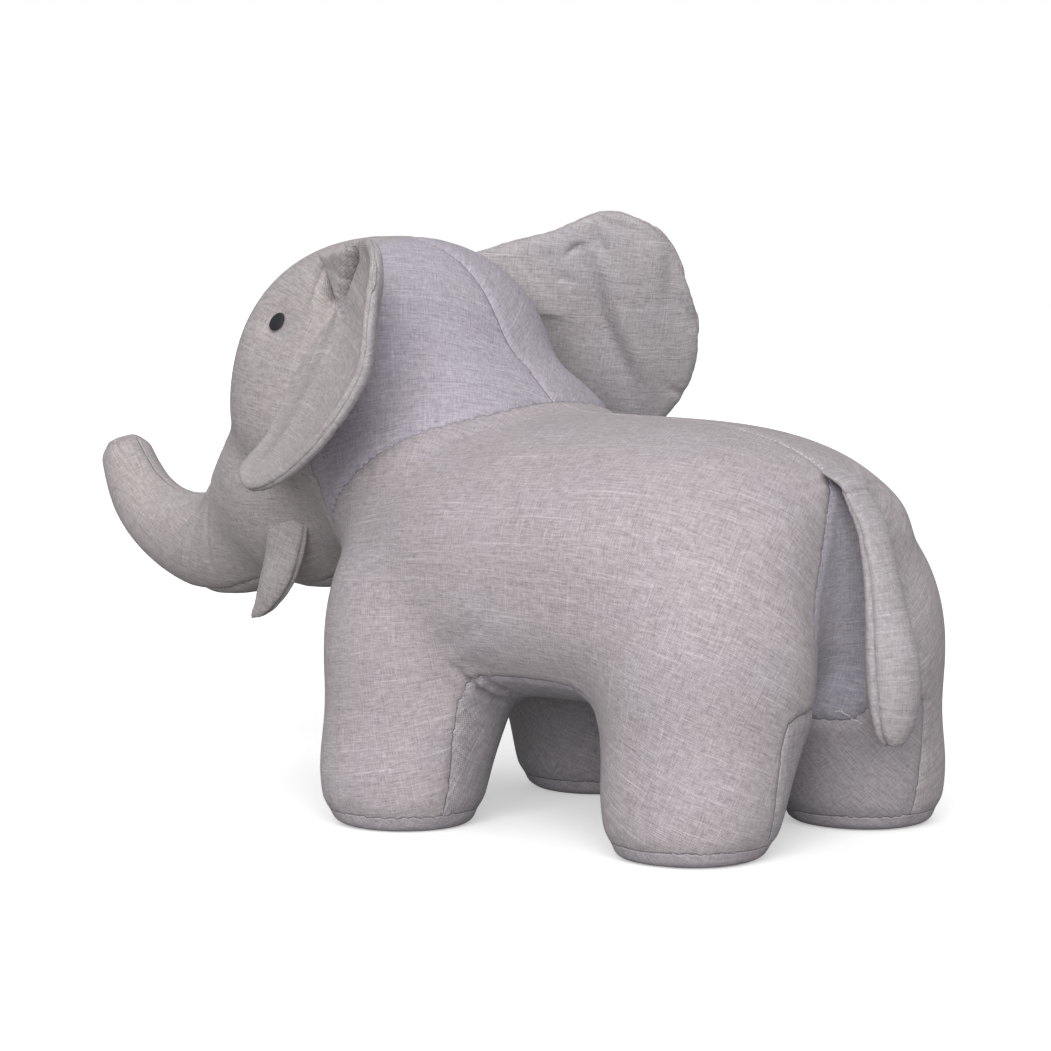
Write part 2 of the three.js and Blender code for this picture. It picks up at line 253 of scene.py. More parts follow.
cut_off(trunk, TIP_POINT, TIP_AXIS)
for leg in (front_leg, hind_leg):
    cut_off(leg, (0, 0, 0), (0, 0, -1))
filling = [torso, front_leg, mirrored(front_leg, "front_leg_right"), hind_leg, mirrored(hind_leg, "hind_leg_right")]
only(skull, trunk, neck, *filling)
bpy.ops.object.join()
cover = skull
cover.name = "cover"
cover.data.remesh_voxel_size = CLOTH_PITCH
cover.data.use_remesh_fix_poles = False
bpy.ops.object.voxel_remesh()


def local(points):
    """Frame metres as millimetres from the middle of the feet."""
    return (np.asarray(points, float) - FEET_MIDDLE) / MM


def smooth_step(value, low, high):
    s = np.clip((value - low) / (high - low), 0, 1)
    return s * s * (3 - 2 * s)


def fill_hollows(piece, weights, rounds):
    """A taut cover bridges hollows and keeps its swells: points in a hollow move out to
    the middle of their neighbours, the rest only slide along the surface."""
    ends = np.empty(len(piece.data.edges) * 2, np.int32)
    piece.data.edges.foreach_get("vertices", ends)
    start, stop = ends.reshape(-1, 2).T
    start, stop = np.concatenate([start, stop]), np.concatenate([stop, start])
    points = points_of(piece)
    shared = np.bincount(start, minlength=len(points))[:, None]
    for step in range(rounds):
        if step % 8 == 0:
            set_points(piece, points)
            normal = normals_of(piece)
        sums = [np.bincount(start, points[stop, k], len(points)) for k in range(3)]
        pull = np.stack(sums, axis=1) / shared - points
        rise = (pull * normal).sum(axis=1)
        pull -= normal * np.minimum(rise, 0)[:, None]
        points = points + pull * (0.5 * weights)[:, None]
    set_points(piece, points)


finish_modifier(cover, "SMOOTH", factor=0.5, iterations=5)
x, y, z = local(points_of(cover)).T
inside_leg = (np.abs(x) < 120) * (1 - smooth_step(z, 120, 160))
over_trunk = smooth_step(-y, 310, 350) * smooth_step(z, 200, 240) * (1 - smooth_step(z, 285, 325))
fill_hollows(cover, np.where(inside_leg > 0, 0.4, 1.0) * smooth_step(z, 20, 60) * (1 - 0.93 * over_trunk), 110)
finish_modifier(cover, "SMOOTH", factor=0.5, iterations=3)

# The haunches stand out on both sides of a hollow behind the tail.
x, y, z = local(points_of(cover)).T
behind = smooth_step(y, 130, 190) * smooth_step(z, 90, 150) * (1 - smooth_step(z, 270, 304))
moved = points_of(cover)
moved[:, 1] += MM * behind * (6 * np.exp(-(((np.abs(x) - 88) / 34) ** 2)) - 9 * np.exp(-((x / 38) ** 2)))
set_points(cover, moved)

# Each seam as its piece is drafted: Y against Z for the seams seen from the side,
# half-width against Z for the leaf behind the tail, half-width against Y below.
NECK_SEAM = [(-248, 0), (-246, 222), (-234, 262), (-190, 298), (-137, 332), (-92, 350), (-76, 372), (-76, 700)]
FACE_SEAM = [(-248, 0), (-240, 240), (-254, 300), (-240, 375), (-234, 432), (-258, 490), (-262, 700)]
LEAF_HALF = [(40, 100), (52, 142), (55, 172), (46, 212), (32, 255), (12, 288), (0, 306)]
INNER_LEG_HALF = [(150, -330), (150, -20), (102, 60), (102, 300)]
CHIN_HALF = [(14, -505), (34, -400), (34, -200)]
SOLE_TURN_UP = 13
PANELS = (
    "side_panel_left side_panel_right belly_panel rump_gusset sole_front_left sole_front_right sole_hind_left "
    "sole_hind_right nape_panel_left nape_panel_right face_panel_left face_panel_right chin_panel trunk_tip"
).split()


def drafted(line, at):
    """The first coordinate of a seam's draft at a place on its second."""
    first, second = np.array(line, float).T
    order = np.argsort(second)
    return np.interp(at, second[order], first[order])


def panel_numbers(centres):
    """Which panel covers each place."""
    x, y, z = local(centres).T
    right = (x < 0).astype(int)
    number = right.copy()
    inner_leg = (z < 118) & (np.abs(x) < drafted(INNER_LEG_HALF, y))
    number[inner_leg | ((np.abs(x) < 150) & (np.abs(y) < 116) & (z < 166))] = PANELS.index("belly_panel")
    number[(y > 150) & (z > 100) & (z < 306) & (np.abs(x) < drafted(LEAF_HALF, z))] = PANELS.index("rump_gusset")
    sole = z < SOLE_TURN_UP
    number[sole] = (PANELS.index("sole_front_left") + 2 * (y > 0) + right)[sole]
    head = y < drafted(NECK_SEAM, z)
    number[head] = (PANELS.index("nape_panel_left") + right)[head]
    face = head & (y < drafted(FACE_SEAM, z))
    number[face] = (PANELS.index("face_panel_left") + right)[face]
    number[face & (z < 222) & (y > -505) & (np.abs(x) < drafted(CHIN_HALF, y))] = PANELS.index("chin_panel")
    tip = ((centres - TIP_POINT) @ TIP_AXIS > -0.004) & (y < -560)
    number[tip] = PANELS.index("trunk_tip")
    return number


def face_centres(mesh):
    flat = np.empty(len(mesh.polygons) * 3, np.float32)
    mesh.polygons.foreach_get("center", flat)
    return flat.reshape(-1, 3).astype(float)


def tidy_seams(piece, rounds):
    """Draws the seam lines straight and lets the cloth beside them even out; marks them."""
    mesh = bmesh.new()
    mesh.from_mesh(piece.data)
    seams = [e for e in mesh.edges if len(e.link_faces) == 2 and len({f.material_index for f in e.link_faces}) == 2]
    beside = {}
    for edge in seams:
        edge.seam = True
        for vert in edge.verts:
            beside.setdefault(vert, []).append(edge.other_vert(vert))
    on_seam = set(beside)
    near = {v for s in on_seam for e in s.link_edges for v in (e.other_vert(s),)}
    near = (near | {e.other_vert(v) for v in near for e in v.link_edges}) - on_seam
    for _ in range(rounds):
        moves = [(v, sum((n.co for n in to), Vector()) / 2) for v, to in beside.items() if len(to) == 2]
        for vert, goal in moves:
            vert.co = vert.co.lerp(goal, 0.5)
        moves = [(v, sum((e.other_vert(v).co for e in v.link_edges), Vector()) / len(v.link_edges)) for v in near]
        for vert, goal in moves:
            vert.co = vert.co.lerp(goal, 0.4)
    mesh.to_mesh(piece.data)
    mesh.free()


def scale_cloth(piece, grain):
    """Sets each island of the UV map to metres, with the cloth's warp along the grain."""
    mesh = bmesh.new()
    mesh.from_mesh(piece.data)
    mesh.faces.ensure_lookup_table()
    sheet = mesh.loops.layers.uv.verify()
    groups = {}
    for face in mesh.faces:
        groups.setdefault(face.material_index, []).append(face)
    for number, faces in groups.items():
        flat_area = solid_area = turn_cos = turn_sin = 0.0
        for face in faces:
            a, b, c = (loop[sheet].uv for loop in face.loops[:3])
            p, q, r = (loop.vert.co for loop in face.loops[:3])
            ab, ac = b - a, c - a
            cross = ab.x * ac.y - ab.y * ac.x
            flat_area += abs(cross)
            solid_area += (q - p).cross(r - p).length
            if abs(cross) < 1e-14:
                continue
            along = Vector(grain) - face.normal * face.normal.dot(Vector(grain))
            pq, pr = q - p, r - p
            m = np.array([[pq.dot(pq), pq.dot(pr)], [pq.dot(pr), pr.dot(pr)]])
            det = m[0, 0] * m[1, 1] - m[0, 1] ** 2
            if det < 1e-20:
                continue
            s = (m[1, 1] * along.dot(pq) - m[0, 1] * along.dot(pr)) / det
            t = (m[0, 0] * along.dot(pr) - m[0, 1] * along.dot(pq)) / det
            way = ab * s + ac * t
            weight = face.calc_area() / max(way.length, 1e-9)
            turn_cos += way.y * weight
            turn_sin += way.x * weight
        size = math.sqrt(solid_area / max(flat_area, 1e-12))
        turn = math.atan2(turn_sin, turn_cos)
        cos, sin = math.cos(turn) * size, math.sin(turn) * size
        shift = 1.7 * number
        for face in faces:
            for loop in face.loops:
                u, v = loop[sheet].uv
                loop[sheet].uv = (u * cos - v * sin + shift, u * sin + v * cos + shift)
    mesh.to_mesh(piece.data)
    mesh.free()


def sew(piece, linens, numbers, grain, rounds=0):
    """Cuts a cover into its panels: numbers gives each face its cloth."""
    for linen in linens:
        piece.data.materials.append(linen)
    piece.data.polygons.foreach_set("material_index", np.asarray(numbers, np.int32))
    tidy_seams(piece, rounds)
    in_edit(piece, lambda: bpy.ops.uv.unwrap(method="CONFORMAL", margin=0.01))
    scale_cloth(piece, grain)


def seam_samples(piece):
    """The points of every seam, in order along it, one run for each seam."""
    mesh = bmesh.new()
    mesh.from_mesh(piece.data)
    left = {e for e in mesh.edges if len(e.link_faces) == 2 and len({f.material_index for f in e.link_faces}) == 2}
    joins = {}
    for edge in left:
        for vert in edge.verts:
            joins.setdefault(vert, []).append(edge)
    runs = []
    starts = [v for v, edges in joins.items() if len(edges) != 2] + list(joins)
    for start in starts:
        for edge in joins[start]:
            if edge not in left:
                continue
            vert, run = start, [start]
            while edge is not None:
                left.discard(edge)
                vert = edge.other_vert(vert)
                run.append(vert)
                more = [e for e in joins[vert] if e in left]
                edge = more[0] if len(joins[vert]) == 2 and more else None
            runs.append(np.array([v.co[:] for v in run]))
    mesh.free()
    return runs


dice = np.random.default_rng(7)


def draw_seams(piece, depth, roll, pucker, spread, ease=1.0):
    """Sinks the seams into the stuffing and gathers the cloth a little beside them, less
    where ease is under one."""
    runs = seam_samples(piece)
    tree = kdtree.KDTree(sum(len(r) for r in runs))
    gone = []
    for k, run in enumerate(runs):
        reach = np.concatenate([[0], np.cumsum(np.linalg.norm(np.diff(run, axis=0), axis=1))])
        for point, far in zip(run, reach):
            tree.insert(point, len(gone))
            gone.append((k, far))
    tree.balance()
    gone = np.array(gone)
    cloth = points_of(piece)
    found = [tree.find(p) for p in cloth]
    space = np.array([f[2] for f in found])
    run_of, far = gone[[f[1] for f in found]].T
    gather = np.zeros(len(cloth))
    for wave, size in ((0.010, 0.3), (0.017, 0.35), (0.029, 0.35)):
        phase = dice.uniform(0, 2 * np.pi, len(runs))[run_of.astype(int)]
        gather += size * np.sin(2 * np.pi * far / wave + phase + 1.3 * np.sin(far / 0.031 + phase))
    swell = 0.35 * depth * np.exp(-(((space - 2.6 * roll) / (1.7 * roll)) ** 2))
    dip = -depth * np.exp(-((space / roll) ** 2)) + swell
    set_points(piece, cloth + normals_of(piece) * (ease * (dip + pucker * gather * np.exp(-space / spread)))[:, None])


def crease(piece, line, depth, width, ridge):
    """Presses a fold into the cloth beneath a line, deepest at its middle, with a low swell
    of the share ridge on each side."""
    path = place(curve_through(line, 60))
    cloth, normal = points_of(piece), normals_of(piece)
    near = np.flatnonzero((np.abs(cloth - path.mean(axis=0)) < np.ptp(path, axis=0) / 2 + 0.03).all(axis=1))
    path = np.array([cloth[near[np.linalg.norm(cloth[near] - p, axis=1).argmin()]] for p in path])
    for _ in range(3):
        path[1:-1] = (path[:-2] + path[1:-1] + path[2:]) / 3
    low, high = path.min(axis=0) - 4 * width, path.max(axis=0) + 4 * width
    near = np.flatnonzero(((cloth > low) & (cloth < high)).all(axis=1))
    if not len(near):
        return
    apart = np.linalg.norm(cloth[near, None] - path[None], axis=2)
    best = apart.argmin(axis=1)
    space = apart[np.arange(len(near)), best] / width
    fade = np.sin(np.pi * np.clip((best + 0.5) / len(path), 0, 1)) ** 0.6
    dip = depth * fade * (-np.exp(-(space**2)) + ridge * np.exp(-((space - 1.7) ** 2)))
    cloth[near] += normal[near] * dip[:, None]
    set_points(piece, cloth)


cover_linens = [bpy.data.materials.new("linen_" + name) for name in PANELS]
sew(cover, cover_linens, panel_numbers(face_centres(cover.data)), (0.05, 0.1, 1), rounds=30)
finish_modifier(cover, "SUBSURF", levels=1, render_levels=1)

# The cover is drawn in or out to each eye button, which stands half proud of it.
EYE_DIMPLE = 0.03
for side in ("left", "right"):
    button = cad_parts["eye_" + side]
    rims = np.array([button.matrix_world @ v.co for v in button.data.vertices])
    cloth, normal = points_of(cover), normals_of(cover)
    apart = np.linalg.norm(cloth - rims.mean(axis=0), axis=1)
    seat = apart.argmin()
    heights = (rims - cloth[seat]) @ normal[seat]
    shift = heights.min() + 0.55 * np.ptp(heights)
    set_points(cover, cloth + normal[seat] * (shift * np.exp(-((apart / EYE_DIMPLE) ** 2)))[:, None])

SOLE_SEAM_EASE = 0.3
height = local(points_of(cover))[:, 2]
ease = SOLE_SEAM_EASE + (1 - SOLE_SEAM_EASE) * smooth_step(height, 25, 50)
draw_seams(cover, depth=0.0013, roll=0.0032, pucker=0.0004, spread=0.012, ease=ease)

# Folds where the stuffed cover bends: under the left ear's seam, the inner legs, the belly,
# the groins, the trunk's bend and the two darts beside the tail's root.
for line, depth, width, ridge in (
    (((46, -265, 490), (84, -257, 464), (113, -247, 432)), 0.0200, 0.0065, 0.40),
    (((152, -70, 152), (138, -66, 138), (118, -67, 121), (100, -70, 108)), 0.0035, 0.0045, 0.40),
    (((140, -56, 152), (112, -44, 136), (84, -40, 122)), 0.0022, 0.0055, 0.50),
    (((162, -74, 160), (150, -60, 176), (166, -18, 188)), 0.0014, 0.0090, 0.50),
    (((70, 60, 118), (72, 40, 112), (60, 20, 108)), 0.0025, 0.0060, 0.50),
    (((176, 108, 150), (184, 130, 168), (188, 150, 186)), 0.0012, 0.0100, 0.50),
    (((70, -447, 263), (56, -468, 239), (48, -480, 214), (36, -490, 192)), 0.0022, 0.0045, 0.60),
    (((66, -454, 261), (43, -490, 240), (39, -510, 218), (36, -524, 200)), 0.0022, 0.0045, 0.60),
    (((72, -440, 260), (63, -445, 236), (50, -450, 211), (37, -456, 190)), 0.0016, 0.0045, 0.60),
    (((30, -500, 262), (34, -520, 252), (34, -545, 240), (30, -560, 226)), 0.0018, 0.0045, 0.60),
    (((0, -452, 274), (30, -446, 272), (62, -436, 262)), 0.0022, 0.0060, 0.30),
    (((-70, -447, 263), (-56, -468, 239), (-48, -480, 214)), 0.0020, 0.0045, 0.60),
    (((2, 206, 302), (30, 208, 302), (56, 206, 300), (92, 199, 297)), 0.0016, 0.0032, 0.50),
    (((-2, 206, 302), (-30, 208, 302), (-56, 206, 300), (-92, 199, 297)), 0.0016, 0.0032, 0.50),
    (((-128, -66, 138), (-118, -67, 121), (-100, -70, 108)), 0.0035, 0.0045, 0.45),
    (((-69, -106, 121), (-72, -102, 115), (-74, -99, 108)), 0.0015, 0.0035, 0.50),
):
    crease(cover, line, depth, width, ridge)


class Wire:
    """A number that runs through a finish's shader nodes; arithmetic on it adds Math nodes."""

    def __init__(self, finish, socket):
        self.finish = finish
        self.socket = socket

    def math(self, operation, *others, clamp=False):
        values = dict(enumerate((self, *others)))
        return self.finish.node("ShaderNodeMath", {"operation": operation, "use_clamp": clamp}, values)[0]

    def __add__(self, other):
        return self.math("ADD", other)

    __radd__ = __add__

    def __mul__(self, other):
        return self.math("MULTIPLY", other)

    __rmul__ = __mul__

    def __sub__(self, other):
        return self.math("SUBTRACT", other)

    def __rsub__(self, other):
        return self * -1 + other

    def __truediv__(self, other):
        return self.math("DIVIDE", other)

    def __pow__(self, other):
        return self.math("POWER", other)


class Finish:
    """The shader nodes of one material."""

    def __init__(self, material):
        material.use_nodes = True
        self.tree = material.node_tree
        self.shader = self.tree.nodes["Principled BSDF"]

    def node(self, kind, settings, values):
        made = self.tree.nodes.new(kind)
        for name, value in settings.items():
            setattr(made, name, value)
        for name, value in values.items():
            self.feed(made.inputs[name], value)
        return [Wire(self, socket) for socket in made.outputs if socket.enabled]

    def feed(self, socket, value):
        if isinstance(value, Wire):
            self.tree.links.new(value.socket, socket)
        else:
            socket.default_value = value

    def blend(self, share, first, second, how="MIX"):
        """A colour between two, by a share."""
        settings = {"data_type": "RGBA", "blend_type": how, "clamp_factor": True}
        return self.node("ShaderNodeMix", settings, {0: share, 6: first, 7: second})[0]

    def noise(self, where, scale, detail=2.0, roughness=0.5):
        values = {"Vector": where, "Scale": scale, "Detail": detail, "Roughness": roughness}
        return self.node("ShaderNodeTexNoise", {"noise_dimensions": "3D"}, values)[0]


def weave_linen(material, light, dark, seed=0.0, hollow=""):
    """Plain-weave linen: uneven warp and weft threads, slubs and a heathered yarn; hollow names an attribute by which
    shade is painted into the colour inside a pocket."""
    finish = Finish(material)
    sheet = finish.node("ShaderNodeTexCoord", {}, {})[2]
    u, v, _ = finish.node("ShaderNodeSeparateXYZ", {}, {0: sheet})
    wander = finish.noise(sheet, 22.0, 3.0) - 0.5
    sway = finish.noise(sheet, 5.0, 2.0) - 0.5
    u2 = u + wander * 0.0016 + sway * 0.006
    v2 = v + wander * 0.0013 - sway * 0.005

    def streaks(across, along, fine, long, plane, detail=2.0):
        spot = finish.node("ShaderNodeCombineXYZ", {}, {0: across * fine, 1: along * long, 2: plane})[0]
        return finish.noise(spot, 1.0, detail, 0.6)

    warp = streaks(u2, v2, 800.0, 125.0, seed)
    weft = streaks(v2, u2, 760.0, 110.0, seed + 7.3)
    warp_slub = streaks(u2, v2, 620.0, 16.0, seed + 3.1, 1.0)
    weft_slub = streaks(v2, u2, 560.0, 12.0, seed + 5.7, 1.0)
    pitch = 1 / 0.0016
    over = (u2 * (2 * math.pi * pitch)).math("SINE") * (v2 * (2 * math.pi * pitch)).math("SINE")
    thin = (warp_slub - 0.6).math("MAXIMUM", 0.0) * 2.6 + (weft_slub - 0.6).math("MAXIMUM", 0.0) * 3.6
    dull = (0.4 - warp_slub).math("MAXIMUM", 0.0) * 2 + (0.4 - weft_slub).math("MAXIMUM", 0.0) * 2
    thread = (warp - 0.5) * 2.0 + (weft - 0.5) * 2.2 + over * 0.12 + thin - dull
    fleck = finish.noise(sheet, 900.0, 1.0)
    cloud = finish.noise(sheet, 9.0, 3.0)
    share = thread * 0.52 + (fleck - 0.5) * 0.55 + (cloud - 0.5) * 0.3
    colour = finish.blend(share.math("ADD", 0.5, clamp=True), dark, light)
    warmth = finish.noise(sheet, 14.0, 2.0)
    cool = (warmth - 0.45).math("MULTIPLY", 1.6, clamp=True)
    colour = finish.blend(cool, colour, (0.95, 0.98, 1.04, 1), "MULTIPLY")
    # Painted shade: where the hollow attribute is high, the colour is blended towards near-black, for the shadow
    # inside the ear's pocket.
    if hollow:
        deep = finish.node("ShaderNodeAttribute", {"attribute_name": hollow}, {})[2]
        colour = finish.blend(deep * 0.85, colour, (0.045, 0.038, 0.034, 1))
    finish.feed(finish.shader.inputs["Base Color"], colour)
    finish.feed(finish.shader.inputs["Roughness"], thread * -0.06 + 0.92)
    height = thread * 0.5 + over * 0.35
    values = {"Strength": 0.5, "Distance": 0.0008, "Height": height}
    finish.feed(finish.shader.inputs["Normal"], finish.node("ShaderNodeBump", {}, values)[0])
    finish.shader.inputs["Specular IOR Level"].default_value = 0.2
    finish.shader.inputs["Sheen Weight"].default_value = 0.12
    finish.shader.inputs["Sheen Roughness"].default_value = 0.5
    return finish


# Light and dark thread colours for each panel. The panels are all one linen; their tints differ as painted light: the
# belly, rump, soles, chin and trunk are darker as painted shade, and the nape and rump cooler as a painted cool cast.
TINTS = {
    "side": ((0.56, 0.51, 0.53, 1), (0.27, 0.235, 0.245, 1)),
    "belly": ((0.50, 0.465, 0.49, 1), (0.235, 0.21, 0.225, 1)),
    "rump": ((0.50, 0.47, 0.52, 1), (0.235, 0.215, 0.25, 1)),
    "sole": ((0.52, 0.48, 0.51, 1), (0.25, 0.22, 0.235, 1)),
    "nape": ((0.55, 0.51, 0.57, 1), (0.26, 0.235, 0.275, 1)),
    "face": ((0.54, 0.495, 0.495, 1), (0.255, 0.222, 0.22, 1)),
    "chin": ((0.52, 0.48, 0.48, 1), (0.245, 0.215, 0.215, 1)),
    "trunk": ((0.52, 0.475, 0.475, 1), (0.245, 0.215, 0.215, 1)),
    "earback": ((0.54, 0.51, 0.52, 1), (0.26, 0.237, 0.245, 1)),
    "tail": ((0.55, 0.515, 0.53, 1), (0.27, 0.24, 0.25, 1)),
}
for number, linen in enumerate(cover_linens):
    weave_linen(linen, *TINTS[PANELS[number].split("_")[0]], seed=11.0 * number)


def part(piece, names):
    """Separates a cover into its panels, by cloth; gives them their names."""
    linens = [slot.material for slot in piece.material_slots]
    only(piece)
    bpy.ops.object.mode_set(mode="EDIT")
    bpy.ops.mesh.separate(type="MATERIAL")
    bpy.ops.object.mode_set(mode="OBJECT")
    panels = {}
    for panel in list(bpy.context.selected_objects):
        name = names[linens.index(panel.material_slots[0].material)]
        panel.name = panel.data.name = name + "_linen"
        panels[name] = panel
    return panels


def hang(panel, body, *nodes, fill=0.9):
    """A finished stuffed panel: smooth, with the thickness of its cloth, on its body."""
    finish_modifier(panel, "SOLIDIFY", thickness=0.001, offset=-1, use_rim=True)
    only(panel)
    bpy.ops.object.shade_smooth()
    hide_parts(*nodes)
    if body:
        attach(panel, body)


def stitches(name, line, pitch, size, light, dark):
    """A row of small thread stitches lying along a line on the cover."""
    path = place(curve_through(line, 60))
    cloth, normal = points_of(cover), normals_of(cover)
    gone = np.concatenate([[0], np.cumsum(np.linalg.norm(np.diff(path, axis=0), axis=1))])
    row = bmesh.new()
    for far in np.arange(pitch / 2, gone[-1], pitch):
        spot = np.array([np.interp(far, gone, path[:, k]) for k in range(3)])
        ahead = np.array([np.interp(far + 0.002, gone, path[:, k]) for k in range(3)])
        seat = np.linalg.norm(cloth - spot, axis=1).argmin()
        up = Vector(normal[seat])
        spot = Vector(spot) + up * up.dot(Vector(cloth[seat] - spot)) + up * (0.3 * size)
        way = Vector(ahead - np.array(spot))
        way = (way - up * way.dot(up)).normalized()
        side_way = up.cross(way)
        made = bmesh.ops.create_icosphere(row, subdivisions=2, radius=1.0)
        length = 0.31 * pitch * dice.uniform(0.8, 1.15)
        for vert in made["verts"]:
            a, b, c = vert.co
            vert.co = spot + way * (a * length) + side_way * (b * size) + up * (c * size * 0.7)
    mesh = bpy.data.meshes.new(name)
    row.to_mesh(mesh)
    row.free()
    thread = bpy.data.objects.new(name, mesh)
    bpy.context.collection.objects.link(thread)
    cotton = bpy.data.materials.new(name)
    spun = Finish(cotton)
    where = spun.node("ShaderNodeTexCoord", {}, {})[3]
    spun.feed(spun.shader.inputs["Base Color"], spun.blend(spun.noise(where, 500.0), dark, light))
    spun.shader.inputs["Roughness"].default_value = 0.8
    mesh.materials.append(cotton)
    only(thread)
    bpy.ops.object.shade_smooth()
    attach(thread, "body_and_head")


# Thread, light and dark: the closing seam is sewn in dim thread, the rest in pale.
PALE = ((0.78, 0.75, 0.76, 1), (0.55, 0.52, 0.54, 1))
DIM = ((0.30, 0.27, 0.31, 1), (0.16, 0.14, 0.17, 1))
stitches("closing_stitches", ((0, -191, 464), (0, -145, 401), (0, -105, 350)), 0.0038, 0.0005, *DIM)
stitches("crotch_stitches", ((52, 196, 100), (0, 204, 101), (-52, 196, 100)), 0.0042, 0.0005, *PALE)
stitches("spine_stitches", ((0, 106, 337), (0, 174, 318), (0, 198, 308)), 0.0046, 0.0004, *PALE)

STUFFING = {
    "side_panel_left": ["torso_stuffing", "leg_stuffing_front_left", "leg_stuffing_hind_left"],
    "side_panel_right": ["leg_stuffing_front_right", "leg_stuffing_hind_right"],
    "nape_panel_left": ["head_stuffing", "eye_washer_left", "eye_washer_right"],
    "face_panel_left": ["trunk_stuffing"],
}
for name, panel in part(cover, PANELS).items():
    hang(panel, "body_and_head", name, *STUFFING.get(name, []))

# ---- The ears ----
# Two linen skins sewn round the rim and turned over a thin wadding. The base is folded and
# caught into the face seam, so the ear cups forwards and leaves a pocket at the top.

# The dark inside the left ear's pocket is painted shade in the front skin's colour.
EAR_ROOT = np.array([114, -244, 432], float)
EAR_BACK = np.array([0.67, 0.73, -0.13]) / np.linalg.norm([0.67, 0.73, -0.13])
EAR_FRONT = np.array([0.7, -0.56, 0.44]) - EAR_BACK * (EAR_BACK @ [0.7, -0.56, 0.44])
EAR_FRONT /= np.linalg.norm(EAR_FRONT)
EAR_RISE = np.cross(EAR_FRONT, EAR_BACK)
EAR_OFFSET = np.array([1, 0.3, 0.8]) / np.linalg.norm([1, 0.3, 0.8]) * 9
EAR_TUCK = np.array([-0.85, -0.1, -0.5]) * 12
EAR_MIDDLE = np.array([84, -14], float)
EAR_OUTLINE = [
    (-56, 40), (-16, 51), (28, 69), (79, 98), (124, 85), (160, 38), (180, -18), (180, -62),
    (162, -106), (124, -146), (78, -162), (44, -146), (26, -106), (18, -58), (-2, 0),
]
EAR_ROLL = 8.0
EAR_HALF_THICKNESS = 5.0
EAR_CUP = 20
# The line along which the ear is sewn on, in the ear's own plane: back against rise.
EAR_SEWN = [(44, -150), (32, -120), (22, -90), (15, -62), (0, 0), (-70, 60), (-76, 66)]
EAR_FOLDS = [
    ((114, 97), (138, 75), (148, 26), (162, 6), (178, -18), 6.0, 9),
    ((55, 66), (69, 47), (83, 9), (117, -54), (131, -93), 6.6, 10),
    ((74, 62), (92, 30), (112, -10), (140, -60), -4.0, 12),
    ((62, 86), (72, 72), (84, 56), 3.6, 5),
    ((66, 88), (88, 88), (110, 83), 2.6, 5),
    ((45, 50), (53, 61), (61, 68), 4.2, 3.2),
    ((42, 36), (50, 34), (58, 30), 2.0, 4),
    ((166, 4), (176, 0), (186, -3), 2.2, 3.5),
    ((158, -66), (168, -72), (180, -78), 2.6, 4),
    ((112, -110), (126, -122), (138, -140), 2.0, 5),
]
EAR_POCKET = [(58, 80), (40, 50), (14, 8)]
# How each ear hangs: the left one is swung back on its seam (degrees), sags, curls forward
# at the top (millimetres) and is folded there into a pocket; tuck says how far from the sewn
# line the ear comes free of the head, above and below the root.
EAR_HANG = {
    "left": dict(swing=12, sag=0.24, curl=14, pocket=24, folds=0.35, deeper=0.8, tuck=(5, 13), tuck_low=(2, 44)),
    "right": dict(swing=0, sag=0.0, curl=0, pocket=0, folds=1.0, deeper=0.0, tuck=(2, 44), tuck_low=(2, 44)),
}


